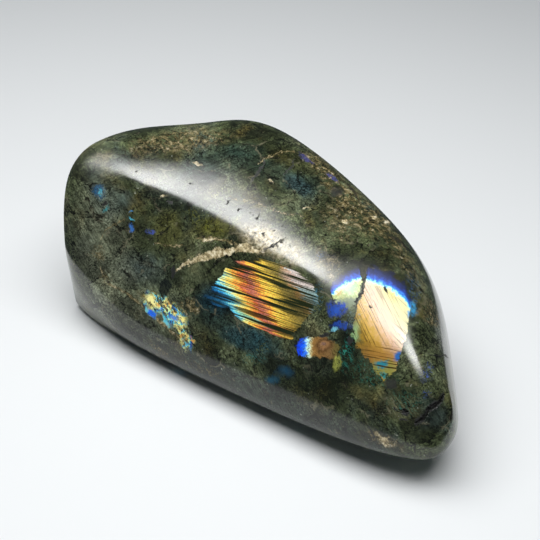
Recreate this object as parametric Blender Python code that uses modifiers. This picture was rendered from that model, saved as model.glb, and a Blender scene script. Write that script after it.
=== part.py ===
"""Standing labradorite freeform: one polished lump of feldspar rock on a sawn, honed base.

Run it with  blender --background --python part.py  or from Blender's text editor.

The stone lies along X. Its show face looks towards -Y and leans back, its sawn end is at -X,
and its blunt nose is at +X. Units are metres and +Z is up. The origin is on the floor, under
the middle of the stone's bounding box.

The form is a coarse cage of cross-sections, lofted from the sawn end to the nose and rounded
by a Subdivision Surface. Creases keep the sawn end and the base flat, with crisp rims. The rim
of the base softens towards the nose, where the underside lifts off the floor.
"""

import bmesh
import bpy
from mathutils import Matrix, Vector
from typing import NamedTuple

NAME = "labradorite_freeform"
MM = 0.001

SMOOTH_LEVELS = 3       # Subdivision Surface levels of the cage
SAWN_CREASE = 1.0       # crease all round the sawn end
FACE_START = 0.3        # where the show face begins, from the belly (0) to the ridge (1)
FACE_BULGE = 0.04       # fullness of the show face, per length of the face
BACK_SHOULDER = 0.16    # the back shoulder's distance in from the back, per depth of the stone
BACK_HEIGHTS = (0.82, 0.52, 0.2)    # back shoulder, back belly and back foot, per crest height

STONE_COLOUR = (0.042, 0.048, 0.036, 1.0)
POLISH_ROUGHNESS = 0.12


class Station(NamedTuple):
    """A cross-section of the cage. Everything but the crease is in millimetres."""

    x: float            # place along the stone
    front: float        # Y of the belly on the show side
    belly_z: float      # height of that belly
    back: float         # Y of the belly on the hidden side
    ridge_y: float      # the ridge between the show face and the top
    ridge_z: float
    ridge_r: float      # how far the ridge's roundness reaches to each side
    crest_y: float      # the highest line
    crest_z: float
    tuck: float         # how far the underside runs in from the belly
    lift: float         # height of the underside over the floor
    rim: float          # crease of the rim of the base, 1 is sharp and 0 is round


STATIONS = (
    Station(-101, -40, 26, 50, -38, 86, 10, -10, 92, 3, 0, 1.0),
    Station(-92, -47, 20, 56, -37, 94, 8, -4, 98, 6, 0, 0.8),
    Station(-60, -55, 12, 66, -26, 83, 8, 25, 102, 10, 0, 0.7),
    Station(-32, -57, 8, 72, -25, 81, 9, 41, 115, 15, 0, 0.6),
    Station(42, -57, 8, 56, -30, 77, 9, 25, 94, 19, 0, 0.5),
    Station(79, -57, 11, 38, -35, 73, 8, 2, 85, 18, 6, 0.2),
    Station(107, -54, 15, -1, -41, 60, 9, -26, 64, 12, 12, 0.0),
    Station(127, -44, 18, -26, -41, 38, 8, -32, 41, 4, 13, 0.0),
)


def section(s):
    """A station's ten (Y, Z) cage points, from the foot of the show face over the top."""
    deep = s.back - s.front
    belly = Vector((s.front, s.belly_z))
    ridge = Vector((s.ridge_y, s.ridge_z))
    crest = Vector((s.crest_y, s.crest_z))
    below = ridge + s.ridge_r * (belly - ridge).normalized()
    above = ridge + s.ridge_r * (crest - ridge).normalized()
    face = belly.lerp(below, FACE_START)
    face += FACE_BULGE * (ridge - belly).length * Vector((-1.0, 0.5))
    shoulder_z, belly_z, foot_z = (height * s.crest_z for height in BACK_HEIGHTS)
    return (
        Vector((s.front + s.tuck, s.lift)),
        belly,
        face,
        below,
        above,
        crest,
        Vector((s.back - BACK_SHOULDER * deep, shoulder_z)),
        Vector((s.back, belly_z)),
        Vector((s.back, s.lift + foot_z)),
        Vector((s.back - s.tuck, s.lift)),
    )


def loft(stations):
    """The closed cage through the stations' sections, with its creases."""
    cage = bmesh.new()
    crease = cage.edges.layers.float.new("crease_edge")
    rings = [
        [cage.verts.new(Vector((s.x, y, z)) * MM) for y, z in section(s)] for s in stations
    ]
    for ring, following in zip(rings, rings[1:]):
        for i in range(len(ring)):
            j = (i + 1) % len(ring)
            cage.faces.new((ring[i], following[i], following[j], ring[j]))
    sawn_end = cage.faces.new(rings[0])
    cage.faces.new(reversed(rings[-1]))
    for edge in sawn_end.edges:
        edge[crease] = SAWN_CREASE
    for k in range(len(rings) - 1):
        for foot in (0, -1):
            edge = cage.edges.get((rings[k][foot], rings[k + 1][foot]))
            edge[crease] = 0.5 * (stations[k].rim + stations[k + 1].rim)
    bmesh.ops.recalc_face_normals(cage, faces=cage.faces)
    return cage


def polished_stone():
    material = bpy.data.materials.new("labradorite")
    material.use_nodes = True
    shader = material.node_tree.nodes["Principled BSDF"]
    shader.inputs["Base Color"].default_value = STONE_COLOUR
    shader.inputs["Roughness"].default_value = POLISH_ROUGHNESS
    shader.inputs["Metallic"].default_value = 0.0
    return material


def freeform():
    cage = loft(STATIONS)
    mesh = bpy.data.meshes.new(NAME)
    cage.to_mesh(mesh)
    cage.free()
    mesh.shade_smooth()
    mesh.materials.append(polished_stone())
    obj = bpy.data.objects.new(NAME, mesh)
    rounding = obj.modifiers.new("rounding", "SUBSURF")
    rounding.levels = SMOOTH_LEVELS
    rounding.render_levels = SMOOTH_LEVELS
    return obj


def stand_on_origin(obj):
    """Shift the cage so that the rounded stone's bounding box stands centred on the origin."""
    rounded = obj.evaluated_get(bpy.context.evaluated_depsgraph_get())
    points = [vert.co.copy() for vert in rounded.to_mesh().vertices]
    rounded.to_mesh_clear()
    low = Vector(min(axis) for axis in zip(*points))
    high = Vector(max(axis) for axis in zip(*points))
    middle = 0.5 * (low + high)
    obj.data.transform(Matrix.Translation((-middle.x, -middle.y, -low.z)))


def main():
    for obj in list(bpy.data.objects):
        bpy.data.objects.remove(obj)
    collection = bpy.data.collections.new(NAME)
    bpy.context.scene.collection.children.link(collection)
    stone = freeform()
    collection.objects.link(stone)
    stand_on_origin(stone)


main()
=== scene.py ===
"""Polish and light the standing labradorite freeform.

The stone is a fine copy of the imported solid, with its open crack carved in. Its material is
built from what the rock is made of: dark feldspar, tan weathered zones, cream veins, pits, and
the patches that flash gold, orange and blue. It stands on pale seamless paper under soft light.
"""

import math

import bmesh
import bpy
from bpy.props import FloatProperty, FloatVectorProperty, PointerProperty
from mathutils import Matrix, Vector, noise
from typing import NamedTuple


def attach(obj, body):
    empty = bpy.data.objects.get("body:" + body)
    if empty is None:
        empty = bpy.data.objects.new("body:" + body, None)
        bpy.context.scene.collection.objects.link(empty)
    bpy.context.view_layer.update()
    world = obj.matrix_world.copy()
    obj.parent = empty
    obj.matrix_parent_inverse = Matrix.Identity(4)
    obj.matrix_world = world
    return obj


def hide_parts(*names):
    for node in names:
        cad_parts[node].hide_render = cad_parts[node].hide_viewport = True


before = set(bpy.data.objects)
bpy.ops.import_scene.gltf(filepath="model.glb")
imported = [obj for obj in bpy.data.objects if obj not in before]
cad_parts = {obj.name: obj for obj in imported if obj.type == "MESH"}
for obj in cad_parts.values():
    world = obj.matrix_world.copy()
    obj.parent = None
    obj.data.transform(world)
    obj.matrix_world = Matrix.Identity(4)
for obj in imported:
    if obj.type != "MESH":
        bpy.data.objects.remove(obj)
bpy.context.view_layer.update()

bl_info = {
    "name": "Standing labradorite freeform",
    "version": (1, 0, 0),
    "blender": (4, 5, 0),
    "location": "3D View > Sidebar > Stone",
    "description": "Polishes a labradorite freeform and sets a small studio round it",
    "category": "Add Mesh",
}

NODE = "labradorite_freeform"
MM = 0.001
FLAT = 1e6      # a size so large that the depth along it doesn't count
REACH = 150     # the show plane's coordinates run this far to each side

WELD = 1e-6                         # corners of the CAD mesh closer than this are one
RIM_ANGLE = math.radians(25.0)      # the sawn rims fold by more than this, and stay crisp
FINER_LEVELS = 2                    # subdivision levels of the fine copy
CARVING_CUTS = 3                    # extra cuts across each edge where a crack is carved
CARVING_REACH = 4.0                 # how far from a crack those cuts go, per its half width
CRACK_REACH = 3.0                   # a crack ends well within this, per its half width
CRACK_FRAY = 0.9                    # how much a crack's width varies
CRACK_END = 0.35                    # a crack's width at its ends, per its width in the middle
CRACK_WALL = 1.5                    # steepness of its walls: above 1, a floor is left between
FELDSPAR_IOR = 1.56

PAPER_GAP = 0.0002                  # how far the floor lies under the stone
PAPER_CORNERS = 72
PAPER_CENTRE_Y = -0.03
MIRRORED_RADIUS = 0.17              # the polish mirrors the floor no further out than this
KEY_SIZE = (0.9, 0.55)
KEY_PLACE = (0.0, -0.1, 0.7)
ROOM_COLOUR = "#a4b8c2"
ROOM_STRENGTH = 0.12
SENSOR_WIDTH = 36.0                 # mm

# The show side is seen from here. Markings on the show face are placed on the plane square to
# this direction, with their origin at SHOW_CENTRE, u to the right and v up, in millimetres.
SHOW_AZIMUTH = math.radians(36.0)
SHOW_ELEVATION = math.radians(36.0)
SHOW_CENTRE = Vector((-12.5, -6.84, 45.0)) * MM
SHOW_RIGHT = Vector((math.cos(SHOW_AZIMUTH), math.sin(SHOW_AZIMUTH), 0.0))
SHOW_BACK = Vector((
    math.sin(SHOW_AZIMUTH) * math.cos(SHOW_ELEVATION),
    -math.cos(SHOW_AZIMUTH) * math.cos(SHOW_ELEVATION),
    math.sin(SHOW_ELEVATION),
))
SHOW_UP = SHOW_BACK.cross(SHOW_RIGHT)
SHOW_FRAME = Matrix((SHOW_RIGHT, SHOW_UP, SHOW_BACK))


def linear(hex_colour):
    """An sRGB hex colour as linear RGBA."""
    values = [int(hex_colour[i:i + 2], 16) / 255 for i in (1, 3, 5)]
    return (*[v / 12.92 if v <= 0.04045 else ((v + 0.055) / 1.055) ** 2.4 for v in values], 1.0)


def add(tree, kind, inputs=None, output=0, stops=None, curve=None, **settings):
    """Add a node, set its properties, fill or link its inputs, and return one of its outputs.

    The stops are a colour ramp's (place, colour) pairs, and the curve is a float curve's points.
    """
    node = tree.nodes.new(kind)
    for name, value in settings.items():
        setattr(node, name, value)
    for key, value in (inputs or {}).items():
        if isinstance(value, bpy.types.NodeSocket):
            tree.links.new(value, node.inputs[key])
        else:
            node.inputs[key].default_value = value
    if stops:
        ramp = node.color_ramp.elements
        while len(ramp) > 1:
            ramp.remove(ramp[-1])
        for i, (place, colour) in enumerate(stops):
            stop = ramp[0] if i == 0 else ramp.new(place)
            stop.position = place
            stop.color = linear(colour)
    if curve:
        line = node.mapping.curves[0].points
        while len(line) < len(curve):
            line.new(0.5, 0.5)
        for point, place in zip(line, curve):
            point.location = place
            point.handle_type = "VECTOR"
        node.mapping.update()
    return node.outputs[output]


class StoneSettings(bpy.types.PropertyGroup):
    """What a user would change about the stone."""

    rock: FloatVectorProperty(
        name="Rock", description="Colour of the dark feldspar ground",
        subtype="COLOR", size=4, min=0.0, max=1.0, default=linear("#3c3d31"),
    )
    polish: FloatProperty(
        name="Polish", description="Roughness of the polished faces",
        subtype="FACTOR", default=0.12, min=0.0, max=1.0,
    )
    waver: FloatProperty(
        name="Waver", description="How far the hand-held polish wanders from a true surface",
        unit="LENGTH", default=0.07 * MM, min=0.0,
    )
    crack_depth: FloatProperty(
        name="Crack depth", description="Depth of the open crack by the nose",
        unit="LENGTH", default=2.4 * MM, min=0.0,
    )
    flash: FloatProperty(
        name="Flash", description="How much the flashing patches add to the light they scatter",
        subtype="FACTOR", default=0.3, min=0.0, max=1.0,
    )


class StudioSettings(bpy.types.PropertyGroup):
    """What a user would change about the studio."""

    floor: FloatVectorProperty(
        name="Floor", description="Colour of the seamless floor",
        subtype="COLOR", size=4, min=0.0, max=1.0, default=linear("#e8eaeb"),
    )
    floor_radius: FloatProperty(
        name="Floor radius", description="How far the floor reaches",
        unit="LENGTH", default=3.0, min=0.5,
    )
    key_power: FloatProperty(
        name="Key power", description="Power of the softbox overhead",
        unit="POWER", default=7.4, min=0.0,
    )
    card_glow: FloatProperty(
        name="Card glow", description="Brightness of the overhead panels that the polish mirrors",
        default=16.0, min=0.0,
    )
    camera_distance: FloatProperty(
        name="Camera distance", description="Distance from the middle of the stone",
        unit="LENGTH", default=0.70, min=0.3,
    )
    lens: FloatProperty(
        name="Lens", description="Focal length of the lens on a 36 mm sensor",
        unit="CAMERA", default=93.33, min=10.0,
    )


def fine_copy(source, name, levels, crease_angle):
    """A smooth fine copy of a CAD node: its triangles joined to quads and subdivided.

    Edges that fold by more than the crease angle stay sharp, in shape and in shading.
    """
    mesh = bmesh.new()
    mesh.from_mesh(source.data)
    bmesh.ops.remove_doubles(mesh, verts=mesh.verts, dist=WELD)
    bmesh.ops.join_triangles(
        mesh, faces=mesh.faces,
        angle_face_threshold=math.radians(80), angle_shape_threshold=math.radians(100),
    )
    for face in mesh.faces:
        face.smooth = True
    crease = mesh.edges.layers.float.new("crease_edge")
    for edge in mesh.edges:
        if edge.calc_face_angle(0.0) > crease_angle:
            edge[crease] = 1.0
            edge.smooth = False
    data = bpy.data.meshes.new(name)
    mesh.to_mesh(data)
    mesh.free()
    obj = bpy.data.objects.new(name, data)
    bpy.context.scene.collection.objects.link(obj)
    finer = obj.modifiers.new("finer", "SUBSURF")
    finer.levels = finer.render_levels = levels
    return obj


def depth_along(path, width, place):
    """How deep a crack is at a (u, v) place: 1 along its path, 0 beyond its frayed width."""
    nearest, middle = math.inf, 0.0
    for k, (start, end) in enumerate(zip(path, path[1:])):
        start, run = Vector(start), Vector(end) - Vector(start)
        share = min(max((place - start).dot(run) / run.length_squared, 0.0), 1.0)
        away = (place - start - share * run).length
        if away < nearest:
            nearest, middle = away, (k + share) / (len(path) - 1)
    frayed = width * (1.0 + CRACK_FRAY * noise.noise(Vector((place.x, place.y, 0.0))))
    frayed *= CRACK_END + (1.0 - CRACK_END) * math.sin(math.pi * middle)
    depth = min(max(CRACK_WALL * (1.0 - nearest / frayed), 0.0), 1.0)
    return depth * depth * (3.0 - 2.0 * depth)


def carve(obj, cracks, depth):
    """Cut open cracks into the show face, after making its mesh finer round each of them."""
    mesh = bmesh.new()
    mesh.from_object(obj, bpy.context.evaluated_depsgraph_get())
    for path, width, share in cracks:
        middle = sum((Vector(point) for point in path), Vector((0.0, 0.0))) / len(path)
        reach = max((Vector(point) - middle).length for point in path) + CRACK_REACH * width
        near = [
            face for face in mesh.faces
            if (on_show(face.verts[0].co) - middle).length < reach
            and face.normal.dot(SHOW_BACK) > 0
            and depth_along(path, CARVING_REACH * width, on_show(face.verts[0].co)) > 0
        ]
        edges = {edge for face in near for edge in face.edges}
        bmesh.ops.subdivide_edges(
            mesh, edges=list(edges), cuts=CARVING_CUTS, use_grid_fill=True,
        )
        mesh.normal_update()
        moves = []
        for vert in mesh.verts:
            place = on_show(vert.co)
            if (place - middle).length < reach and vert.normal.dot(SHOW_BACK) > 0:
                moves.append((vert, depth_along(path, width, place) * share * depth * vert.normal))
        for vert, move in moves:
            vert.co -= move
    obj.modifiers.clear()
    mesh.to_mesh(obj.data)
    mesh.free()


def on_show(point):
    """A point's (u, v) on the show plane, in millimetres."""
    return (SHOW_FRAME @ (point - SHOW_CENTRE) / MM).xy


class Spot(NamedTuple):
    """A soft-edged elliptical marking on the show plane, in millimetres and degrees.

    Where only its shape counts, it has no colour.
    """

    colour: str
    centre: tuple[float, float]
    size: tuple[float, float]
    turn: float = 0.0
    strength: float = 1.0
    soft: float = 0.4


class Place(NamedTuple):
    """Where the material is: sockets for its coordinates in millimetres and for its sides.

    With these coordinates a texture's scale of 1 / n gives it a size of n millimetres.
    """

    show: object            # show-plane coordinates (u, v, depth)
    ragged: object = None   # the same, shaken so that the edges of markings come out natural
    solid: object = None    # object coordinates, for whatever runs through the whole rock
    u: object = None
    v: object = None
    front: object = None    # 1 on the show side, 0 on the hidden sides
    under: object = None    # 1 on the flat base


# Zones of the rock on the show side, with one painted reflection among them. Later ones lie on top.
DARK_ZONES = (
    Spot("#26352f", (-25, 52), (34, 15), 10, 0.7),
    Spot("#22362f", (-12, 59), (24, 8), -5, 0.6),
    Spot("#27352c", (8, 45), (40, 13), -22, 0.72),
    Spot("#22343a", (14, 41), (16, 8), -35, 0.65),
    Spot("#2f4244", (-80, 33), (18, 16), 30, 0.5),
    Spot("#2c3c3d", (-71, 35), (9, 9), 0, 0.5),
    Spot("#1c231a", (-45, 31), (40, 8), -25, 0.75),
    Spot("#2b363a", (-63, 0), (28, 14), -5, 0.7, 0.8),
    # Pale grey-green over the left end: painted reflection, the veil of the pale floor and room
    # that this turned-away end mirrors.
    Spot("#7c816c", (-86, 6), (26, 66), 0, 0.6, 0.8),
    Spot("#64675a", (-62, -22), (46, 26), -20, 0.4, 0.8),
    Spot("#3a3f2c", (-30, 6), (60, 26), -25, 0.5, 0.8),
    Spot("#202a27", (-4, -60), (120, 17), -22, 0.8, 0.5),
    Spot("#20302c", (-26, -20), (34, 14), -12, 0.75),
    Spot("#15394a", (-26, -14), (15, 11), -15, 0.75, 0.8),
    Spot("#123640", (-10, -33), (26, 12), -15, 0.8),
    Spot("#4a4a26", (-50, 20), (14, 17), 0, 0.7),
    Spot("#45451d", (-27, 20), (24, 10), 8, 0.5),
    Spot("#3a3c22", (14, 53), (34, 10), -20, 0.6),
    Spot("#7d8078", (79, -32), (6, 17), 15, 0.6, 0.6),
    Spot("#5f5b43", (58, -61), (17, 9), -20, 0.6, 0.8),
)
# Near-black zones and two dim blue ones, which lie over the fractures too.
DEEP_ZONES = (
    Spot("#0a0f08", (33, -42), (24, 25), -40, 0.75, 0.7),
    Spot("#0c1209", (16, -51), (38, 12), -25, 0.65, 0.7),
    Spot("#080b05", (36, -31), (10, 12), 0, 0.85, 0.6),
    Spot("#191f14", (-47, -4), (8, 10), 20, 0.6),
    Spot("#151b1a", (-51.5, -8.8), (9.5, 6.5), 75, 0.85, 0.15),
    Spot("#12160c", (-14, -5), (24, 7), -30, 0.5, 0.8),
    Spot("#245a7c", (7, -47.5), (6, 4.4), -15, 0.45, 0.9),
    Spot("#2a6a8a", (1.5, -51.5), (4.4, 4), 0, 0.45, 0.9),
)
TAN_ZONES = (
    Spot("", (-44, 65), (46, 11), 6, 0.85),
    Spot("", (-62, 62), (20, 10), 15, 0.4),
    Spot("", (27, 47), (8, 26), 35, 0.9),
    Spot("", (40, 30), (13, 34), 35, 0.9),
    Spot("", (32, 22), (12, 18), 30, 0.6),
    Spot("", (54, 20), (8, 34), 35, 0.8),
    Spot("", (64, 2), (8, 30), 26, 0.5),
    Spot("", (74, -20), (10, 12), 20, 0.85),
    Spot("", (27, 3), (10, 18), 20, 0.55),
    Spot("", (-86, 8), (7, 9), 0, 0.7),
    Spot("", (-83, -4), (7, 7), 0, 0.6),
    Spot("", (52, -77), (16, 5), -25, 0.8),
    Spot("", (-39, -18.5), (9, 9), 20, 0.95),
    Spot("", (-56, -39), (13, 4), -40, 0.6),
    Spot("", (-33, -48), (24, 4), -20, 0.4),
    Spot("", (-4, 14), (16, 12), 20, 0.7),
)

# Pale cream rock beside the gold patch, lightened so that it also stands in for the glare there:
# partly rock colour, partly painted highlight.
PALE_ROCK_AND_GLARE = (
    Spot("", (-3, 15), (19, 10), -20, 0.8, 0.7),
    Spot("", (9, 8), (16, 9), -32, 0.6, 0.7),
)

# The wide cream vein's two edges, then the thin veins with their half widths, as (u, v) points.
CREAM_TOP = (
    (-45.5, 0), (-42.5, 3.4), (-37.5, 5.5), (-33, 7.9), (-28, 9.4), (-25.4, 11.2), (-22, 9.6),
    (-18, 10.4), (-12, 12.8), (-6, 10), (-1, 8.6),
)
CREAM_FOOT = (
    (-45.5, 0), (-41.3, 1.6), (-36.3, 3.6), (-32.5, 4.4), (-25, 5.2), (-22, 7), (-14, 8.8),
    (-6, 8.1), (-1, 8.6),
)
VEINS = (
    (((-36, 14.6), (-34.4, 15.2), (-28.4, 15.1), (-21, 14.1), (-15, 11.5)), 0.8),
    (((-57, 13.5), (-51, 12), (-41, 11.5)), 0.5),
    (((-85.7, 1), (-81.6, -6.5), (-73, -11), (-63, -17.9), (-55.3, -24.7), (-40.5, -36.6)), 1.0),
    (((-85, 15), (-82, 20.5), (-72, 25)), 0.5),
    (((-6, 52), (-2, 54.9), (4.9, 57.9), (14.7, 58), (21, 55)), 0.4),
    (((-20, 35), (-6, 32), (6, 27), (16, 26)), 0.4),
)
# Cream flecks.
FLECKS = (
    Spot("", (-35.6, 52.9), (4.4, 1.1), -20, 0.8),
    Spot("", (0.5, 43.1), (3.4, 0.8), -20, 0.6),
    Spot("", (17.1, 29.5), (3.4, 1.2), 10, 0.7),
    Spot("", (35.3, 23.1), (3, 2)),
    Spot("", (48.7, 25.1), (3, 2)),
    Spot("", (56.1, 22.8), (3, 2)),
    Spot("", (50.9, -76.5), (8, 2.6), -45),
    Spot("", (-52.5, 36.5), (2.4, 1)),
    Spot("", (-29.5, 15.2), (7, 1.6)),
)
# Open pits and dark cracks. The first seven pits lie in the stone's brightest reflection.
PITS = (
    Spot("", (-66, 49.6), (1.6, 0.8), 35),
    Spot("", (-39.3, 42.7), (1.8, 0.9), -30),
    Spot("", (-19.8, 32.8), (4, 1.3), 38),
    Spot("", (-15.9, 28.3), (2.2, 1), 40),
    Spot("", (-6.2, 24.8), (2, 0.9), 50),
    Spot("", (2.4, 18.4), (1.6, 1)),
    Spot("", (-3.3, 16.6), (2, 0.8), -30),
    Spot("", (55.7, -60.6), (2.6, 1.2), -30),
    Spot("", (59.6, -62.7), (3.6, 2.4), -10),
    Spot("", (59.2, -66.3), (3.4, 1.2), -15),
    Spot("", (53.8, -50.7), (6, 5), 20, 0.8),
    Spot("", (45.2, -17), (1.8, 1.2), -30),
    Spot("", (52, -9), (2.4, 0.9), -40),
    Spot("", (-46.9, -1), (6, 1.7), 72),
    Spot("", (-49.5, 32.8), (4, 1.4), -20),
    Spot("", (-82.6, 33.3), (3, 1.8)),
    Spot("", (31.6, 37.4), (7, 5), 40, 0.8),
    Spot("", (24.6, -28.8), (4.5, 2.4), 10),
    Spot("", (36.1, -31.6), (4, 3), 60),
    Spot("", (75.5, -38.7), (12, 0.7), -15),
    Spot("", (1.9, 11.8), (13, 0.8), 25),
    Spot("", (-5.5, 48.7), (13, 0.9), 60),
    Spot("", (9.5, 50.2), (10, 0.9), 57),
    Spot("", (40, 37.9), (14, 1.4), -60, 0.8),
    Spot("", (62.3, 12), (17, 1.4), -40, 0.8),
    Spot("", (41.2, -9.5), (18, 0.9), 72),
)
# The open crack by the nose and the hole beside it: (u, v) points, half width, share of the depth.
VUG = ((64.4, -68.0), (67.8, -66.1), (70.4, -61.5), (74.9, -58.9), (77.1, -55.4))
CRACKS = (
    (VUG, 1.1, 1.0),
    (((58.2, -62.4), (61.2, -63.2)), 1.3, 0.75),
)

# Outlines of the patches that flash, each as the (u, v) points of its top and its foot.
GOLD_TOP = (
    (-31, -12), (-27, -8), (-23, -3), (-21, 2), (-13, 4.5), (-4, 4.8), (5, 3), (12.5, -1.5),
    (19, -5.5), (22.5, -13.5),
)
GOLD_FOOT = (
    (-31, -12), (-27, -16.5), (-19.5, -17.5), (-16.5, -22), (-7, -27), (-1, -29), (1, -31.5),
    (10, -31.5), (15, -24.5), (19.5, -19.5), (22.5, -13.5),
)
PEACH_TOP = (
    (36.5, -30), (38, -22), (40.2, -14), (42.8, -8), (45, 2.2), (49, 1.2), (54.5, -1.2), (61, -5),
    (64, -13.5),
)
PEACH_FOOT = (
    (36.5, -30), (40, -35), (44, -41), (47, -45), (51, -48.5), (54.5, -46), (57, -40),
    (60.5, -30), (64, -13.5),
)
LOBE_TOP = ((27, -8), (30, -4), (34.5, -1), (40.5, 1.4), (42, -5.5))
LOBE_FOOT = ((27, -8), (29.5, -14), (34, -17), (39, -15), (42, -5.5))
BRONZE_TOP = ((12, -35), (14, -32), (18.5, -31), (23, -30.5), (29, -32.5), (31.5, -35))
BRONZE_FOOT = ((12, -35), (13, -39), (18.5, -40), (25, -40), (30, -40), (31.5, -35))
# The line that the blue rim of the peach patch and of its lobe starts from, and the rim's colours
# inwards from it.
PEACH_RIM = ((30, 9), (45, 0.5), (49, -0.5), (54.5, -3), (61, -8), (64, -15), (66, -24))
LOBE_RIM = ((25, -10), (30, -5.5), (34.5, -2.5), (40.5, 0), (44, 1))
RIM = (
    (0.0, "#1f2334"), (0.28, "#242f64"), (0.46, "#214bb4"), (0.58, "#3688d4"), (0.66, "#8fdcd8"),
    (0.75, "#dfe2b0"),
)
# Spots of colour within each patch. Later ones lie on top.
GOLD_SPOTS = (
    # The first spot, pinkish white over the patch's top right, is painted highlight: the pale veil
    # of the reflection over that corner.
    Spot("#c9b0a6", (16, -4), (20, 9), -17, 0.75),
    Spot("#4d4224", (15, -16), (18, 13), -17, 0.8, 0.8),
    Spot("#67b8a4", (-8, -23.3), (18, 1.8), -24, 0.8),
    Spot("#1c383c", (-25, -15), (11, 4), -15, 0.7, 0.8),
    Spot("#7a5230", (8, -29), (9, 6), 0, 0.7, 0.7),
    Spot("#1a2110", (0.5, -4.8), (18, 1.4), -20, 0.95, 0.2),
    Spot("#1a2110", (-7.3, -20.7), (24, 2.0), -18, 0.9, 0.2),
    Spot("#f0d860", (-10.5, 4.6), (5, 1.6), -10, 0.9, 0.2),
)
PEACH_SPOTS = (
    Spot("#dccd6c", (57, -8), (12, 8), -30, 0.85, 0.7),
    Spot("#d8d2a0", (60, -17), (7, 12), 10, 0.8, 0.7),
    Spot("#8f6630", (50, -39), (19, 10), -10, 0.85, 0.9),
    Spot("#7c7c3c", (51.5, -44), (12, 7), -10, 0.9, 0.5),
    Spot("#2c5f9e", (56.5, -38.5), (5, 5), -10, 1.0, 0.4),
    Spot("#2a7484", (49.5, -42), (5, 3), -10, 1.0, 0.4),
    Spot("#2f7a78", (51, -46.5), (4, 2.4), -10, 1.0, 0.4),
    Spot("#8fb57e", (38.5, -28), (4, 9), -10, 0.7, 0.7),
    Spot("#4a9ad0", (63, -16), (2.4, 13), 6, 0.9, 0.6),
)
LOBE_SPOTS = (
    Spot("#b39c5e", (30.5, -9.5), (4.5, 5), 0, 0.9),
    Spot("#9fd0b4", (36.5, -7.5), (5, 5), 0, 0.6, 0.8),
    Spot("#5d6a58", (36, -15), (14, 7), 10, 0.9),
)
BRONZE_SPOTS = (
    Spot("#543a22", (24.7, -34.2), (8.5, 7), 0, 0.85, 0.3),
    Spot("#8f6a44", (24.7, -34.2), (5.5, 4.4), 0, 0.9, 0.3),
    Spot("#7a6058", (24.5, -34), (2.6, 2), 0, 0.8, 0.5),
)
FLAKE_ZONES = (
    Spot("", (-54, -17), (17, 8), -25, 1.0),
    Spot("", (-47, -22), (15, 9), -50, 1.0),
    Spot("", (-42, -32), (6, 15), 25, 0.8),
)
FLAKE_SPOTS = (
    Spot("#efe79a", (-58.5, -15.5), (9, 2.4), -38, 0.95, 0.5),
    Spot("#1f62d8", (-58.5, -21), (5.5, 3.6), -25, 1.0, 0.4),
    Spot("#5cc8dc", (-61, -19.5), (2, 3), 0, 0.8, 0.4),
    Spot("#2b72cc", (-47, -23.5), (5, 2.6), -35, 0.9, 0.5),
    Spot("#48b9d4", (-51.5, -25), (2.2, 7), 28, 0.9, 0.5),
    Spot("#f0e084", (-43, -24), (2, 5), 50, 0.95, 0.5),
    Spot("#c98a3c", (-37, -34), (1.6, 4), 35, 0.9, 0.5),
)
# Single glints outside the patches, and the faint broad hazes of flash.
GLINTS = (
    Spot("#2a6ea0", (-85, 39), (5, 6), 30, 0.7, 0.7),
    Spot("#5fb6c8", (-84, 38.5), (1.8, 3), 30, 0.9),
    Spot("#39a0a8", (-81.6, 30.8), (4, 2), 40, 0.6, 0.7),
    Spot("#4fb0c8", (-67.8, 24.7), (3.5, 1.2), -25, 1.0),
    Spot("#3a74c8", (-68.5, 21), (2.4, 3), 0, 0.9),
    Spot("#3f8fd0", (-68.3, 28.5), (2.8, 1.2), 20, 0.9),
    Spot("#4658b4", (-58.6, 18.7), (4, 2), 0, 0.7),
    Spot("#1d3f9c", (31, -17.5), (8, 7), 0, 1.0),
    Spot("#2a5cc0", (30.5, -18), (4, 4.4), 0, 0.75, 0.8),
    Spot("#24479e", (32, -25), (9, 3.4), 0, 1.0),
    Spot("#7cc4d8", (28.5, -26.5), (4, 1.8), 0, 0.9),
    Spot("#aab055", (30.3, -42.5), (3.4, 8), -10, 0.7),
    Spot("#3f98c8", (64.5, -17), (3, 6), 0, 0.9, 0.5),
    Spot("#4b4a86", (18, 54.5), (9, 2.4), -35, 0.7),
    Spot("#4b4f92", (30, 45), (7, 2.4), -45, 0.7),
)
HAZES = (
    Spot("#7f9ea4", (37.5, -22), (5, 8), -30, 0.8, 0.7),
    Spot("#3bb8a4", (35, -36), (4.4, 13), -12, 0.8, 0.8),
    Spot("#2b5fa4", (65, -10), (6, 12), 0, 0.8, 0.7),
    Spot("#2f6f86", (67, -6), (6, 5), 0, 0.6, 0.8),
    Spot("#3f8f8a", (-7.6, -41.6), (9, 5), 0, 0.8, 0.8),
    Spot("#3b9a86", (60, -59), (14, 9), 0, 0.42, 0.8),
    Spot("#3b9a86", (45, -46), (18, 10), -20, 0.5, 0.8),
    Spot("#4f68b4", (69.5, -45.5), (6, 6), 0, 1.0, 0.8),
    Spot("#4f68b4", (69.5, -54.5), (3, 3), 0, 0.9, 0.8),
    Spot("#8f9238", (-31, 23), (20, 8), -30, 0.6, 0.8),
    Spot("#777a38", (-3.3, -36.7), (6, 5), 0, 0.8, 0.7),
    Spot("#2f5f88", (24, 7), (5, 4), 0, 0.6, 0.8),
    Spot("#3f7f9a", (23, -12), (4, 12), -10, 0.8, 0.7),
)


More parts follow.
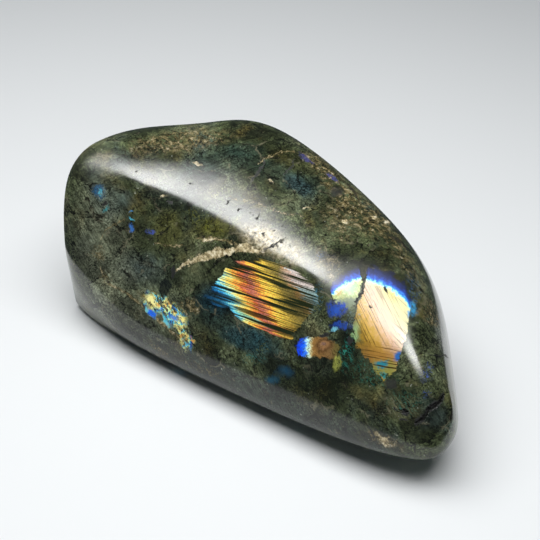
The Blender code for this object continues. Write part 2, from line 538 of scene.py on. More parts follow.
# A smoothstep Map Range stays within its ends by itself, so none here has the clamp, which would
# cost the renderer a hidden node each time.
def blob(tree, where, spot):
    """A spot's strength inside its ellipse, fading to 0 over the soft share of its radius."""
    reach = 0.5 * (1.0 + spot.soft)
    local = add(tree, "ShaderNodeMapping", {
        "Vector": where, "Location": (*spot.centre, 0.0),
        "Rotation": (0.0, 0.0, math.radians(spot.turn)),
        "Scale": (reach * spot.size[0], reach * spot.size[1], FLAT),
    }, vector_type="TEXTURE")
    depth = add(tree, "ShaderNodeTexGradient", {"Vector": local}, output="Fac",
                gradient_type="SPHERICAL")
    return add(tree, "ShaderNodeMapRange", {
        "Value": depth, "From Max": spot.soft / reach, "To Max": spot.strength,
    }, interpolation_type="SMOOTHSTEP", clamp=False)


def union(tree, masks):
    """The strongest of several masks."""
    whole = None
    for mask in masks:
        if whole:
            mask = add(tree, "ShaderNodeMath", {0: whole, 1: mask}, operation="MAXIMUM")
        whole = mask
    return whole


def overlap(tree, *masks):
    """Several masks multiplied together."""
    whole = masks[0]
    for mask in masks[1:]:
        whole = add(tree, "ShaderNodeMath", {0: whole, 1: mask}, operation="MULTIPLY")
    return whole


def outside(tree, mask):
    """Where a mask isn't."""
    return add(tree, "ShaderNodeMath", {0: 1.0, 1: mask}, operation="SUBTRACT")


def grain(tree, where, size, low, high, turn=0.0, shift=0.0, detail=4.0, roughness=0.55):
    """Mottling from 0 at the low level of a noise to 1 at the high one.

    Its grains are (long, wide) or (long, wide, deep) mm and are turned in degrees about the depth.
    The shift takes another part of the noise, so that no two patterns line up.
    """
    laid = add(tree, "ShaderNodeMapping", {
        "Vector": where, "Location": (shift, 2 * shift, 3 * shift),
        "Rotation": (0.0, 0.0, math.radians(turn)),
        "Scale": (size[0], size[1], size[-1]),
    }, vector_type="TEXTURE")
    mottling = add(tree, "ShaderNodeTexNoise", {
        "Vector": laid, "Scale": 1.0, "Detail": detail, "Roughness": roughness,
    })
    return add(tree, "ShaderNodeMapRange", {
        "Value": mottling, "From Min": low, "From Max": high,
    }, interpolation_type="SMOOTHSTEP", clamp=False)


def fray(tree, place, size, reach, shift):
    """An offset of up to the reach in mm, coarse and fine at once, that frays an edge."""
    wobble = grain(tree, place.show, (size, size), 0.28, 0.72, 0, shift, 5.0, 0.75)
    return add(tree, "ShaderNodeMapRange", {"Value": wobble, "To Min": -reach, "To Max": reach})


def specks(tree, where, size, radius, share):
    """Round specks: one in the given share of cells of that size, soft to its radius."""
    laid = add(tree, "ShaderNodeMapping", {"Vector": where, "Scale": (size,) * 3},
               vector_type="TEXTURE")
    near = add(tree, "ShaderNodeTexVoronoi", {"Vector": laid, "Scale": 1.0}, output="Distance")
    dot = add(tree, "ShaderNodeMapRange", {
        "Value": near, "From Min": radius, "From Max": 0.6 * radius,
    })
    lot = add(tree, "ShaderNodeRGBToBW", {"Color": near.node.outputs["Color"]})
    drawn = add(tree, "ShaderNodeMath", {0: lot, 1: 1.0 - share}, operation="GREATER_THAN")
    return overlap(tree, dot, drawn)


def below(tree, place, points):
    """How far a place lies below a line drawn through (u, v) points, in millimetres."""
    left, right = points[0][0], points[-1][0]
    low, high = min(v for _, v in points), max(v for _, v in points)
    along = across(tree, place, (0, 0), 0, left, right)
    share = add(tree, "ShaderNodeFloatCurve", {"Value": along}, curve=[
        ((u - left) / (right - left), (v - low) / (high - low)) for u, v in points
    ])
    line = add(tree, "ShaderNodeMapRange", {"Value": share, "To Min": low, "To Max": high})
    return add(tree, "ShaderNodeMath", {0: line, 1: place.v}, operation="SUBTRACT")


def between(tree, place, top, foot, jag, soft=0.5):
    """1 between two lines that meet at their ends, with an edge that the jag moves in or out."""
    under_top = below(tree, place, top)
    under_foot = below(tree, place, foot)
    over_foot = add(tree, "ShaderNodeMath", {0: under_foot, 1: -1.0}, operation="MULTIPLY")
    inside = add(tree, "ShaderNodeMath", {0: under_top, 1: over_foot}, operation="MINIMUM")
    for end, sign in ((top[0][0], 1.0), (top[-1][0], -1.0)):
        past = add(tree, "ShaderNodeMath", {0: place.u, 1: sign, 2: -sign * end},
                   operation="MULTIPLY_ADD")
        inside = add(tree, "ShaderNodeMath", {0: inside, 1: past}, operation="MINIMUM")
    ragged = add(tree, "ShaderNodeMath", {0: inside, 1: jag}, operation="ADD")
    return add(tree, "ShaderNodeMapRange", {
        "Value": ragged, "From Min": -soft, "From Max": soft,
    }, interpolation_type="SMOOTHSTEP", clamp=False)


def vein(tree, place, points, width, jag):
    """1 on a line through (u, v) points, 0 beyond its half width in mm and past its ends."""
    off = add(tree, "ShaderNodeMath", {0: below(tree, place, points), 1: jag}, operation="ADD")
    away = add(tree, "ShaderNodeMath", {0: off}, operation="ABSOLUTE")
    line = add(tree, "ShaderNodeMapRange", {
        "Value": away, "From Min": width, "From Max": 0.3 * width,
    })
    started = add(tree, "ShaderNodeMath", {0: place.u, 1: points[0][0]}, operation="GREATER_THAN")
    not_over = add(tree, "ShaderNodeMath", {0: place.u, 1: points[-1][0]}, operation="LESS_THAN")
    return overlap(tree, line, started, not_over)


def across(tree, place, centre, turn, low, high):
    """0 to 1 as a place moves from low to high mm along a direction through the centre."""
    angle = math.radians(turn)
    start = (centre[0] + low * math.cos(angle), centre[1] + low * math.sin(angle), 0.0)
    local = add(tree, "ShaderNodeMapping", {
        "Vector": place.show, "Location": start, "Rotation": (0.0, 0.0, angle),
        "Scale": (high - low,) * 3,
    }, vector_type="TEXTURE")
    return add(tree, "ShaderNodeTexGradient", {"Vector": local}, output="Fac")


# Shakes added to the coordinates one after the other, as (size, reach) in mm. The first, a small
# one, is in all of them, and the last two only in the ragged ones.
SHAKES = ((3.0, 0.1), (8.0, 2.2), (1.6, 1.2))
# The sides told apart: name, the direction that they face, and the cosines of the angle to it
# at which they begin and count in full.
SIDES = (
    ("front", SHOW_BACK, -0.1, 0.05),
    ("under", (0.0, 0.0, -1.0), 0.85, 1.0),
)


def survey(tree):
    """The coordinates that the material works in, and the sides that it tells apart."""
    metres = add(tree, "ShaderNodeTexCoord", output="Object")
    facing = add(tree, "ShaderNodeTexCoord", output="Normal")
    plain = add(tree, "ShaderNodeMapping", {"Vector": metres, "Scale": (1 / MM,) * 3})
    shaken = plain
    steps = []
    for size, reach in SHAKES:
        colour = add(tree, "ShaderNodeTexNoise", {
            "Vector": plain, "Scale": 1 / size, "Detail": 1.0,
        }, output="Color")
        shake = add(tree, "ShaderNodeVectorMath", {
            0: colour, 1: (2 * reach,) * 3, 2: (-reach,) * 3,
        }, operation="MULTIPLY_ADD")
        shaken = add(tree, "ShaderNodeVectorMath", {0: shaken, 1: shake}, operation="ADD")
        steps.append(shaken)
    turned = {"Rotation": SHOW_FRAME.to_euler(), "Location": -(SHOW_FRAME @ SHOW_CENTRE) / MM}
    # This Mapping moves nothing. It makes the coordinates a point, so no texture has to convert.
    solid = add(tree, "ShaderNodeMapping", {"Vector": steps[0]})
    show = add(tree, "ShaderNodeMapping", {"Vector": steps[0], **turned})
    ragged = add(tree, "ShaderNodeMapping", {"Vector": steps[-1], **turned})
    sides = {}
    for name, direction, start, full in SIDES:
        slant = add(tree, "ShaderNodeVectorMath", {0: facing, 1: direction}, output="Value",
                    operation="DOT_PRODUCT")
        sides[name] = add(tree, "ShaderNodeMapRange", {
            "Value": slant, "From Min": start, "From Max": full,
        })
    spread = {}
    for name, turn in (("u", 0.0), ("v", 90.0)):
        share = across(tree, Place(show=show), (0, 0), turn, -REACH, REACH)
        spread[name] = add(tree, "ShaderNodeMapRange", {
            "Value": share, "To Min": -REACH, "To Max": REACH,
        }, clamp=False)
    return Place(show=show, ragged=ragged, solid=solid, **sides, **spread)


def paint(tree, base, coats, blend="MIX"):
    """Lay coats of (colour, mask) over a base colour, one after the other."""
    for colour, mask in coats:
        base = add(tree, "ShaderNodeMixRGB", {"Fac": mask, "Color1": base, "Color2": colour},
                   output="Color", blend_type=blend)
    return base


def paint_spots(tree, place, base, spots, *limits):
    """Lay each spot's colour over a base colour, within the masks that limit them."""
    return paint(tree, base, (
        (linear(spot.colour), overlap(tree, blob(tree, place.ragged, spot), *limits))
        for spot in spots
    ))


def crystals(tree, where, size, turn, edge):
    """Crystals of (long, wide, deep) mm: a random level in each, and 1 on the seam between two."""
    laid = add(tree, "ShaderNodeMapping", {
        "Vector": where, "Rotation": (0.0, 0.0, math.radians(turn)),
        "Scale": (size[0], size[1], size[-1]),
    }, vector_type="TEXTURE")
    inside = add(tree, "ShaderNodeTexVoronoi", {"Vector": laid, "Scale": 1.0}, output="Color")
    level = add(tree, "ShaderNodeRGBToBW", {"Color": inside})
    rim = add(tree, "ShaderNodeTexVoronoi", {"Vector": laid, "Scale": 1.0}, output="Distance",
              feature="DISTANCE_TO_EDGE")
    seam = add(tree, "ShaderNodeMapRange", {
        "Value": rim, "From Min": edge, "From Max": 0.3 * edge,
    })
    return level, seam


def ground(tree, place, rock):
    """Dark feldspar: big cloudy crystals with fibres, fine grain, flecks and fractures.

    Its crystals are about 7 and 22 mm long. Its twin lamellae are a tenth of a millimetre wide or
    less, too fine to show from here, so fibres, threads and the finest grain are drawn 0.7 to
    0.9 mm wide. A pale grey-green zone over the left end is painted reflection, not rock colour.
    """
    cloud = add(tree, "ShaderNodeTexNoise", {
        "Vector": place.solid, "Scale": 1 / 26, "Detail": 5.0, "Roughness": 0.56,
    })
    tone = add(tree, "ShaderNodeValToRGB", {"Fac": cloud}, output="Color", stops=[
        (0.30, "#151b0c"), (0.42, "#2d351d"), (0.51, "#424b30"), (0.60, "#596146"),
        (0.72, "#7d7b55"),
    ])
    colour = paint(tree, tone, [(rock, 0.25)])
    for hue, size, shift in (("#514b2a", 19, 31), ("#37413a", 24, 41)):
        area = grain(tree, place.solid, (size, size), 0.5, 0.72, 0.0, shift, 4.0, 0.6)
        colour = paint(tree, colour, [(linear(hue), area)])
    # The dark zones include a painted reflection over the left end.
    colour = paint_spots(tree, place, colour, DARK_ZONES, place.front)

    level, seam = crystals(tree, place.ragged, (22, 13, 18), -25, 0.035)
    small_level, small_seam = crystals(tree, place.ragged, (7, 4, 6), 30, 0.06)
    here = grain(tree, place.solid, (16, 16), 0.42, 0.58, 0.0, 57, 3.0)
    there = outside(tree, here)
    fibres = grain(tree, place.show, (18, 0.9), 0.25, 0.75, -58, 3, 3.0, 0.65)
    threads = grain(tree, place.show, (14, 0.7), 0.25, 0.75, 20, 11, 3.0, 0.65)
    crisp = add(tree, "ShaderNodeMapRange", {
        "Value": grain(tree, place.solid, (11, 11), 0.35, 0.65, 0, 37, 2.0),
        "To Min": 0.25, "To Max": 0.85,
    }, clamp=False)
    lights = (
        (level, 0.5),
        (small_level, 0.32),
        (fibres, overlap(tree, here, 0.6)),
        (threads, overlap(tree, there, 0.55)),
        (grain(tree, place.ragged, (5, 2.5), 0.3, 0.7, -30, 29, 3.0, 0.6), 0.42),
        (grain(tree, place.solid, (0.9, 0.9), 0.32, 0.68, 0, 23, 3.0, 0.8), crisp),
    )
    for light, share in lights:
        grey = add(tree, "ShaderNodeCombineColor", {0: light, 1: light, 2: light})
        colour = paint(tree, colour, [(grey, share)], "OVERLAY")

    for hue, crack, size, shift, share in (
        ("#7f7a63", seam, 9, 13, 0.5),
        ("#0a0c07", seam, 8, 71, 0.9),
        ("#0a0c07", small_seam, 6, 17, 0.8),
    ):
        open_here = grain(tree, place.solid, (size, size), 0.52, 0.6, 0.0, shift, 3.0)
        colour = paint(tree, colour, [(linear(hue), overlap(tree, crack, open_here, share))])
    gaps = grain(tree, place.ragged, (7, 2.2), 0.58, 0.66, -40, 19, 5.0, 0.7)
    colour = paint(tree, colour, [(linear("#0b0e08"), overlap(tree, gaps, 0.75))])
    for hue, size, radius, share in (("#8f9284", 3.2, 0.14, 0.25), ("#0a0c07", 2.6, 0.2, 0.2)):
        flecked = specks(tree, place.ragged, size, radius, share)
        colour = paint(tree, colour, [(linear(hue), flecked)])
    return paint_spots(tree, place, colour, DEEP_ZONES, place.front)


def weathering(tree, place, colour):
    """Iron-stained feldspar in tan grains, cream veins, and pale patches that are partly painted
    highlight. Returns the colour and mask.
    """
    zones = union(tree, (blob(tree, place.ragged, spot) for spot in TAN_ZONES))
    broken = grain(tree, place.ragged, (5, 2.2), 0.42, 0.56, -60, 5, 6.0, 0.72)
    stain = overlap(tree, zones, broken)
    jag = fray(tree, place, 2.4, 1.0, 51)
    cream_vein = between(tree, place, CREAM_TOP, CREAM_FOOT, jag, 0.3)
    veins = union(tree, (vein(tree, place, points, width, jag) for points, width in VEINS))
    flecks = union(tree, (blob(tree, place.ragged, spot) for spot in FLECKS))
    # Pale cream patches, partly rock colour and partly painted highlight glare.
    pale_and_glare = overlap(
        tree, union(tree, (blob(tree, place.ragged, spot) for spot in PALE_ROCK_AND_GLARE)),
        grain(tree, place.ragged, (4, 2.2), 0.3, 0.55, -20, 77, 5.0, 0.7),
    )
    bright = overlap(tree, union(tree, (cream_vein, flecks, pale_and_glare)), place.front)
    tan = overlap(tree, union(tree, (stain, veins)), place.front)
    shade = add(tree, "ShaderNodeTexNoise", {
        "Vector": place.solid, "Scale": 1 / 2.2, "Detail": 4.0, "Roughness": 0.78,
    })
    ochre = add(tree, "ShaderNodeValToRGB", {"Fac": shade}, output="Color", stops=[
        (0.37, "#0d0b06"), (0.45, "#38321e"), (0.52, "#6c613c"), (0.59, "#9c8c66"),
        (0.68, "#d6caac"),
    ])
    cream = add(tree, "ShaderNodeValToRGB", {"Fac": shade}, output="Color", stops=[
        (0.34, "#4e432c"), (0.43, "#94855f"), (0.51, "#c2b28a"), (0.62, "#ece3c8"),
    ])
    colour = paint(tree, colour, [(ochre, tan), (cream, bright)])
    return colour, union(tree, (tan, bright))


def gold_flash(tree, place, colour):
    """The large patch: sunset bands across it, cut by dark lamellae that slope to the right.

    The lamellae that make the colour are under a thousandth of a millimetre thick. The streaks
    drawn here are what bundles of them show, 0.8 and 2 mm wide.
    """
    lamella = grain(tree, place.show, (60, 2.0, FLAT), 0.25, 0.75, -18, 0, 2.0, 0.6)
    fine = grain(tree, place.show, (30, 0.8, FLAT), 0.25, 0.75, -18, 9, 2.0, 0.6)
    mottle = grain(tree, place.ragged, (1.6, 1.6), 0.2, 0.8, 0, 2)
    band = across(tree, place, (-13, 4), 25, -24, 26)
    for part, share in ((lamella, 0.14), (fine, 0.05), (mottle, 0.06)):
        band = add(tree, "ShaderNodeMath", {0: part, 1: share, 2: band}, operation="MULTIPLY_ADD")
    glow = add(tree, "ShaderNodeValToRGB", {"Fac": band}, output="Color", stops=[
        (0.12, "#0c2f4e"), (0.22, "#155089"), (0.30, "#2a86c4"), (0.365, "#6fd3e0"),
        (0.41, "#e6ec9a"), (0.46, "#f2cf5c"), (0.51, "#ea9840"), (0.55, "#d3693c"),
        (0.585, "#b0655a"), (0.61, "#b86e54"), (0.65, "#e2903c"), (0.70, "#f2cd52"),
        (0.77, "#d9b548"), (0.83, "#94803a"), (0.93, "#6c6238"), (0.98, "#b3834e"),
        (1.0, "#8fb2b4"),
    ])
    crisp = place._replace(ragged=place.show)
    # These spots include a painted highlight veil over the patch's top right.
    glow = paint_spots(tree, crisp, glow, GOLD_SPOTS)
    dark = union(tree, (
        add(tree, "ShaderNodeMapRange", {
            "Value": lamella, "From Min": 0.42, "From Max": 0.3,
        }),
        add(tree, "ShaderNodeMapRange", {
            "Value": fine, "From Min": 0.46, "From Max": 0.28, "To Max": 0.8,
        }),
    ))
    sparkle = grain(tree, place.solid, (0.6, 0.6), 0.3, 0.7, 0, 33, 2.0, 0.7)
    sparkle = add(tree, "ShaderNodeCombineColor", {0: sparkle, 1: sparkle, 2: sparkle})
    glow = paint(tree, glow, [(sparkle, 0.4)], "OVERLAY")
    glow = paint(tree, glow, [(linear("#1d2412"), dark)])
    jag = add(tree, "ShaderNodeMapRange", {"Value": lamella, "To Min": -2.0, "To Max": 1.4})
    patch = between(tree, place, GOLD_TOP, GOLD_FOOT, jag)
    lit = add(tree, "ShaderNodeMapRange", {"Value": band, "From Min": 0.1, "From Max": 0.3})
    patch = overlap(tree, patch, lit, place.front)
    return paint(tree, colour, [(glow, patch)]), patch


def peach_flash(tree, place, colour):
    """The patch towards the nose: gold to peach to cream, with a blue rim along its top."""
    mottle = grain(tree, place.ragged, (3, 1.5), 0.2, 0.8, -65, 3)
    band = across(tree, place, (50, -20), 25, -14, 13)
    band = add(tree, "ShaderNodeMath", {0: mottle, 1: 0.16, 2: band}, operation="MULTIPLY_ADD")
    glow = add(tree, "ShaderNodeValToRGB", {"Fac": band}, output="Color", stops=[
        (0.05, "#4c4a28"), (0.18, "#927426"), (0.33, "#c09a42"), (0.46, "#cda878"),
        (0.58, "#dab9a2"), (0.74, "#dac8a2"), (0.95, "#d4d0a0"),
    ])
    glow = paint_spots(tree, place, glow, PEACH_SPOTS)
    strong = add(tree, "ShaderNodeMapRange", {"Value": band, "To Min": 0.95, "To Max": 0.3})
    low = add(tree, "ShaderNodeMapRange", {"Value": place.v, "From Min": -32, "From Max": -35})
    upper = add(tree, "ShaderNodeMapRange", {"Value": place.u, "From Min": 53, "From Max": 57})
    for turn, shift, limit in (
        (-66, 4, overlap(tree, outside(tree, low), strong)),
        (-9, 14, low),
        (-45, 24, overlap(tree, outside(tree, low), upper, 0.6)),
    ):
        line = grain(tree, place.show, (22, 0.8, FLAT), 0.47, 0.38, turn, shift, 3.0, 0.65)
        glow = paint(tree, glow, [(linear("#3c2a10"), overlap(tree, line, limit))])

    deep = below(tree, place, PEACH_RIM)
    wavy = add(tree, "ShaderNodeMath", {0: mottle, 1: 2.4, 2: deep}, operation="MULTIPLY_ADD")
    share = add(tree, "ShaderNodeMapRange", {"Value": wavy, "From Max": 10.0})
    rim = add(tree, "ShaderNodeValToRGB", {"Fac": share}, output="Color", stops=RIM)
    in_rim = add(tree, "ShaderNodeMapRange", {"Value": share, "From Min": 0.85, "From Max": 0.72})
    glow = paint(tree, glow, [(rim, in_rim)])
    patch = between(tree, place, PEACH_TOP, PEACH_FOOT, fray(tree, place, 4, 2.4, 61))
    patch = overlap(tree, patch, place.front)
    return paint(tree, colour, [(glow, patch)]), patch


def lobe_flash(tree, place, colour):
    """The lobe beside it, across the crack: yellow-green under a blue rim."""
    mottle = grain(tree, place.ragged, (3, 2), 0.2, 0.8, -50, 6)
    deep = below(tree, place, LOBE_RIM)
    wavy = add(tree, "ShaderNodeMath", {0: mottle, 1: 2.4, 2: deep}, operation="MULTIPLY_ADD")
    share = add(tree, "ShaderNodeMapRange", {"Value": wavy, "From Max": 8.0})
    rim = add(tree, "ShaderNodeValToRGB", {"Fac": share}, output="Color", stops=RIM)
    in_rim = add(tree, "ShaderNodeMapRange", {"Value": share, "From Min": 0.85, "From Max": 0.72})
    light = grain(tree, place.ragged, (2.5, 1.2), 0.3, 0.7, -50, 66, 4.0, 0.7)
    glow = paint(tree, linear("#8c9a5e"), [(linear("#ccd896"), light)])
    glow = paint_spots(tree, place, glow, LOBE_SPOTS)
    glow = paint(tree, glow, [(rim, in_rim)])
    patch = between(tree, place, LOBE_TOP, LOBE_FOOT, fray(tree, place, 4, 1.6, 62))
    patch = overlap(tree, patch, place.front)
    return paint(tree, colour, [(glow, patch)]), patch


def bronze_flash(tree, place, colour):
    """The small patch in the dark below: deep blue, a white edge, and bronze round a ring."""
    mottle = grain(tree, place.ragged, (2, 2), 0.2, 0.8, 0, 8)
    band = across(tree, place, (12, -35), 0, -1, 20)
    band = add(tree, "ShaderNodeMath", {0: mottle, 1: 0.1, 2: band}, operation="MULTIPLY_ADD")
    glow = add(tree, "ShaderNodeValToRGB", {"Fac": band}, output="Color", stops=[
        (0.05, "#0d2fa8"), (0.20, "#1448e6"), (0.30, "#2f7bf2"), (0.36, "#c4f2ec"),
        (0.42, "#c9bc86"), (0.48, "#8f6a38"), (0.80, "#735836"), (1.0, "#5c562c"),
    ])
    glow = paint_spots(tree, place, glow, BRONZE_SPOTS)
    spots = grain(tree, place.ragged, (1.2, 1.2), 0.5, 0.36, 0, 10, 4.0, 0.75)
    glow = paint(tree, glow, [(linear("#2e2212"), overlap(tree, spots, 0.7))])
    scratch = grain(tree, place.show, (7, 0.8, FLAT), 0.4, 0.3, 35, 9, 3.0)
    glow = paint(tree, glow, [(linear("#3a2814"), overlap(tree, scratch, 0.7))])
    patch = between(tree, place, BRONZE_TOP, BRONZE_FOOT, fray(tree, place, 3, 1.2, 63))
    patch = overlap(tree, patch, place.front)
    return paint(tree, colour, [(glow, patch)]), patch


def scattered_flash(tree, place, colour):
    """The small broken patch towards the base: flakes of yellow, cyan and blue."""
    flake = grain(tree, place.ragged, (4, 1.5), 0.45, 0.53, -50, 12, 5.0, 0.7)
    hue = add(tree, "ShaderNodeTexNoise", {
        "Vector": place.ragged, "Scale": 1 / 3, "Detail": 2.0,
    })
    glow = add(tree, "ShaderNodeValToRGB", {"Fac": hue}, output="Color", stops=[
        (0.34, "#1f58c8"), (0.42, "#46b4dc"), (0.48, "#8fe0cc"), (0.53, "#e6ec9a"),
        (0.62, "#e9d67c"), (0.72, "#d59a4c"),
    ])
    glow = paint_spots(tree, place, glow, FLAKE_SPOTS)
    region = union(tree, (blob(tree, place.ragged, spot) for spot in FLAKE_ZONES))
    sure = union(tree, (blob(tree, place.ragged, spot) for spot in FLAKE_SPOTS))
    gap = grain(tree, place.ragged, (2, 0.8), 0.34, 0.42, -50, 19, 4.0, 0.7)
    patch = overlap(tree, union(tree, (overlap(tree, region, flake), sure)), gap, place.front)
    return paint(tree, colour, [(glow, patch)]), patch


def hidden_flash(tree, place, colour):
    """Dim blue and gold patches, cut by lamellae, on the sides that the show face hides."""
    area = grain(tree, place.solid, (24, 24), 0.6, 0.64, 0, 83, 3.0)
    slats = grain(tree, place.solid, (18, 1.4, 18), 0.4, 0.5, 20, 84, 2.0)
    hue = add(tree, "ShaderNodeTexNoise", {"Vector": place.solid, "Scale": 1 / 15, "Detail": 2.0})
    glow = add(tree, "ShaderNodeValToRGB", {"Fac": hue}, output="Color", stops=[
        (0.36, "#173a7c"), (0.46, "#2a7fae"), (0.54, "#5fae9c"), (0.62, "#b0a04c"),
    ])
    hidden = outside(tree, union(tree, (place.front, place.under)))
    patch = overlap(tree, area, slats, hidden, 0.8)
    return paint(tree, colour, [(glow, patch)]), patch


def open_pits(tree, place):
    """1 in the pits and the open crack.

    Polishing leaves pits some tenths of a millimetre wide, too fine to show from here. They are
    drawn about 1 mm wide, in the stone's brightest reflection, where the eye meets them.
    """
    small_pits = overlap(
        tree, specks(tree, place.ragged, 2.0, 0.28, 0.45),
        blob(tree, place.ragged, Spot("", (0, 19), (30, 15), -20, 1.0, 0.6)),
    )
    pits = union(tree, (blob(tree, place.ragged, spot) for spot in PITS))
    vug = vein(tree, place, VUG, 2.6, fray(tree, place, 2, 1.2, 64))
    return overlap(tree, union(tree, (pits, small_pits, vug)), place.front)


def labradorite(settings):
    """Polished labradorite: dark feldspar under a glassy surface, with patches that flash.

    It is feldspar rock, ground wet and polished by hand. That gives the eye a deep dark body under
    sharp but slightly wavering highlights. Stained and cream grains take less polish, the sawn base
    is only honed, and pits stay dull. A real flash is light from inside the stone and comes out
    brighter than paint, so the patches also glow a little.
    """
    material = bpy.data.materials.new("polished_labradorite")
    material.use_nodes = True
    tree = material.node_tree
    place = survey(tree)
    colour = ground(tree, place, settings.rock)
    colour, tan = weathering(tree, place, colour)
    patches = None
    for flash in (
        gold_flash, peach_flash, lobe_flash, bronze_flash, scattered_flash, hidden_flash,
    ):
        colour, patch = flash(tree, place, colour)
        patches = union(tree, (patches, patch)) if patches else patch
    glint = grain(tree, place.ragged, (2.4, 1), 0.4, 0.52, -55, 91, 5.0, 0.75)
    colour = paint_spots(tree, place, colour, GLINTS, glint, place.front)
    spark = grain(tree, place.ragged, (3, 0.8), 0.5, 0.66, -50, 92, 5.0, 0.75)
    colour = paint_spots(tree, place, colour, HAZES, spark, place.front)
    pits = open_pits(tree, place)
    colour = paint(tree, colour, [(linear("#070806"), pits)])

    shader = tree.nodes["Principled BSDF"]
    tree.links.new(colour, shader.inputs["Base Color"])
    shader.inputs["IOR"].default_value = FELDSPAR_IOR
    # Two stretches of the polish are duller than the rest: round the peach patch, and by the top
    # of the sawn end.
    haze = blob(tree, place.ragged, Spot("", (47, -14), (42, 36), -15, 1.0, 0.5))
    corner = blob(tree, place.ragged, Spot("", (-90, 56), (30, 26), 0, 1.0, 0.6))
    roughness = settings.polish
    for mask, rougher in (
        (haze, 0.45),
        (corner, 0.4),
        (tan, 0.3),
        (place.under, 0.45),
        (pits, 0.7),
    ):
        roughness = add(tree, "ShaderNodeMix", {"Factor": mask, "A": roughness, "B": rougher},
                        data_type="FLOAT")
    tree.links.new(roughness, shader.inputs["Roughness"])
    waver = add(tree, "ShaderNodeTexNoise", {"Vector": place.solid, "Scale": 1 / 9, "Detail": 2.0})
    hand_polish = add(tree, "ShaderNodeBump", {"Height": waver, "Distance": settings.waver})
    tree.links.new(hand_polish, shader.inputs["Normal"])
    shine = overlap(tree, patches, settings.flash)
    tree.links.new(colour, shader.inputs["Emission Color"])
    tree.links.new(shine, shader.inputs["Emission Strength"])
    return material


class STONE_OT_freeform(bpy.types.Operator):
    """Make the polished stone over its CAD solid"""

    bl_idname = "stone.freeform"
    bl_label = "Polished freeform"

    def execute(self, context):
        settings = context.scene.stone
        stone = fine_copy(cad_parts[NODE], "polished_freeform", FINER_LEVELS, RIM_ANGLE)
        carve(stone, CRACKS, settings.crack_depth)
        stone.data.materials.clear()
        stone.data.materials.append(labradorite(settings))
        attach(stone, "root")
        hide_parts(NODE)
        return {"FINISHED"}


# The overhead panels that the polish mirrors: name, size and place in metres, turn in degrees.
CARDS = (
    ("card", (0.855, 0.46), (-0.4775, -0.19, 0.95), 0.0),
    ("side_card", (1.2, 0.42), (0.49, -0.58, 0.95), 132.0),
)
# How a panel's glow fades towards its edges: the axis, and the shares where it is 0 and full.
CARD_FADES = (("Y", 0.0, 0.12), ("Y", 1.0, 0.4), ("X", 1.0, 0.92), ("X", 0.0, 0.65))


def softbox(name, size, place, power):
    """A rectangular soft light that shines straight down and isn't mirrored."""
    data = bpy.data.lights.new(name, "AREA")
    data.shape = "RECTANGLE"
    data.size, data.size_y = size
    data.energy = power
    light = bpy.data.objects.new(name, data)
    light.location = place
    light.visible_camera = False
    light.visible_glossy = False
    bpy.context.scene.collection.objects.link(light)


def mirrored_card(name, size, place, turn, glow):
    """An overhead panel that only the polish mirrors, brightest along the edge nearest to you.

    It is diffusion cloth lit from behind: an even glow without a hot spot, that fades to its rim.
    """
    mesh = bmesh.new()
    bmesh.ops.create_grid(mesh, x_segments=1, y_segments=1, size=0.5)
    data = bpy.data.meshes.new(name)
    mesh.to_mesh(data)
    mesh.free()
    material = bpy.data.materials.new("diffusion_panel")
    material.use_nodes = True
    tree = material.node_tree
    tree.nodes.remove(tree.nodes["Principled BSDF"])
    place_on = add(tree, "ShaderNodeTexCoord", output="Generated")
    level = glow
    for axis, start, end in CARD_FADES:
        along = add(tree, "ShaderNodeSeparateXYZ", {"Vector": place_on}, output=axis)
        level = add(tree, "ShaderNodeMapRange", {
            "Value": along, "From Min": start, "From Max": end, "To Max": level,
        }, interpolation_type="SMOOTHSTEP", clamp=False)
    emission = add(tree, "ShaderNodeEmission", {"Strength": level})
    tree.links.new(emission, tree.nodes["Material Output"].inputs["Surface"])
    data.materials.append(material)
    card = bpy.data.objects.new(name, data)
    card.location = place
    card.scale = (*size, 1.0)
    card.rotation_euler.z = math.radians(turn)
    card.visible_camera = card.visible_diffuse = card.visible_shadow = False
    bpy.context.scene.collection.objects.link(card)


def seamless_paper(colour):
    """Uncoated background paper: its loose fibres scatter all light, so it has no sheen at all."""
    material = bpy.data.materials.new("matt_seamless_paper")
    material.use_nodes = True
    shader = material.node_tree.nodes["Principled BSDF"]
    shader.inputs["Base Color"].default_value = colour
    shader.inputs["Roughness"].default_value = 1.0
    shader.inputs["Specular IOR Level"].default_value = 0.0
    return material


def floor_ring(name, inner, outer, paper, mirrored):
    """A ring of the floor, or a disc where the inner radius is 0."""
    mesh = bmesh.new()
    angles = [math.radians(360 * k / PAPER_CORNERS) for k in range(PAPER_CORNERS)]
    rings = [
        [mesh.verts.new((radius * math.cos(angle), radius * math.sin(angle), 0.0))
         for angle in angles]
        for radius in (inner, outer) if radius > 0
    ]
    if inner == 0:
        mesh.faces.new(rings[0])
    else:
        for k in range(PAPER_CORNERS):
            j = (k + 1) % PAPER_CORNERS
            mesh.faces.new((rings[0][k], rings[1][k], rings[1][j], rings[0][j]))
    data = bpy.data.meshes.new(name)
    mesh.to_mesh(data)
    mesh.free()
    data.materials.append(paper)
    floor = bpy.data.objects.new(name, data)
    floor.location = (0.0, PAPER_CENTRE_Y, -PAPER_GAP)
    floor.visible_glossy = mirrored
    bpy.context.scene.collection.objects.link(floor)


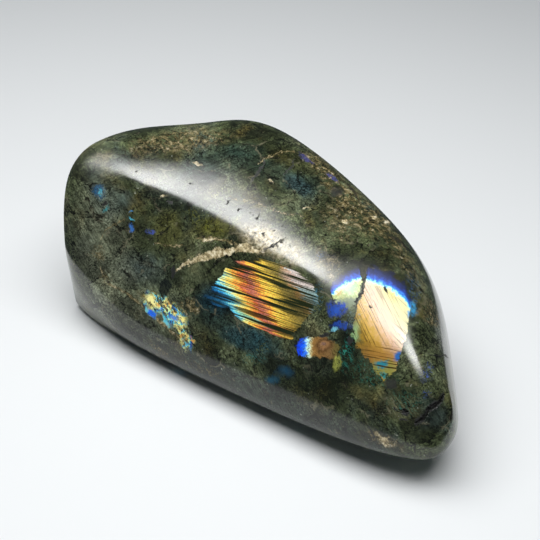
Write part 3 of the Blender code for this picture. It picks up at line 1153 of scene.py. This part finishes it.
class STONE_OT_stage(bpy.types.Operator):
    """Set the floor, the soft lights and the camera"""

    bl_idname = "stone.stage"
    bl_label = "Studio"

    def execute(self, context):
        scene = context.scene
        studio = scene.studio
        paper = seamless_paper(studio.floor)
        floor_ring("floor_near", 0.0, MIRRORED_RADIUS, paper, True)
        floor_ring("floor_far", MIRRORED_RADIUS, studio.floor_radius, paper, False)

        softbox("key", KEY_SIZE, KEY_PLACE, studio.key_power)
        for name, size, place, turn in CARDS:
            mirrored_card(name, size, place, turn, studio.card_glow)

        world = bpy.data.worlds.new("dim_room")
        world.use_nodes = True
        background = world.node_tree.nodes["Background"]
        background.inputs["Color"].default_value = linear(ROOM_COLOUR)
        background.inputs["Strength"].default_value = ROOM_STRENGTH
        scene.world = world

        scene.view_settings.view_transform = "Standard"
        data = bpy.data.cameras.new("camera")
        data.sensor_width = SENSOR_WIDTH
        data.lens = studio.lens
        camera = bpy.data.objects.new("camera", data)
        camera.location = SHOW_CENTRE + studio.camera_distance * SHOW_BACK
        camera.rotation_mode = "QUATERNION"
        camera.rotation_quaternion = (-SHOW_BACK).to_track_quat("-Z", "Y")
        scene.collection.objects.link(camera)
        scene.camera = camera
        return {"FINISHED"}


class STONE_PT_panel(bpy.types.Panel):
    """The stone's pieces and settings in the sidebar"""

    bl_label = "Labradorite freeform"
    bl_idname = "STONE_PT_panel"
    bl_space_type = "VIEW_3D"
    bl_region_type = "UI"
    bl_category = "Stone"

    def draw(self, context):
        layout = self.layout
        for settings in (context.scene.stone, context.scene.studio):
            for name in settings.__annotations__:
                layout.prop(settings, name)
        for operator in (STONE_OT_freeform, STONE_OT_stage):
            layout.operator(operator.bl_idname)


CLASSES = (StoneSettings, StudioSettings, STONE_OT_freeform, STONE_OT_stage, STONE_PT_panel)


def register():
    for cls in CLASSES:
        bpy.utils.register_class(cls)
    bpy.types.Scene.stone = PointerProperty(type=StoneSettings)
    bpy.types.Scene.studio = PointerProperty(type=StudioSettings)


def unregister():
    del bpy.types.Scene.studio
    del bpy.types.Scene.stone
    for cls in reversed(CLASSES):
        bpy.utils.unregister_class(cls)


def main():
    register()
    bpy.ops.stone.freeform()
    bpy.ops.stone.stage()


if __name__ == "__main__":
    main()
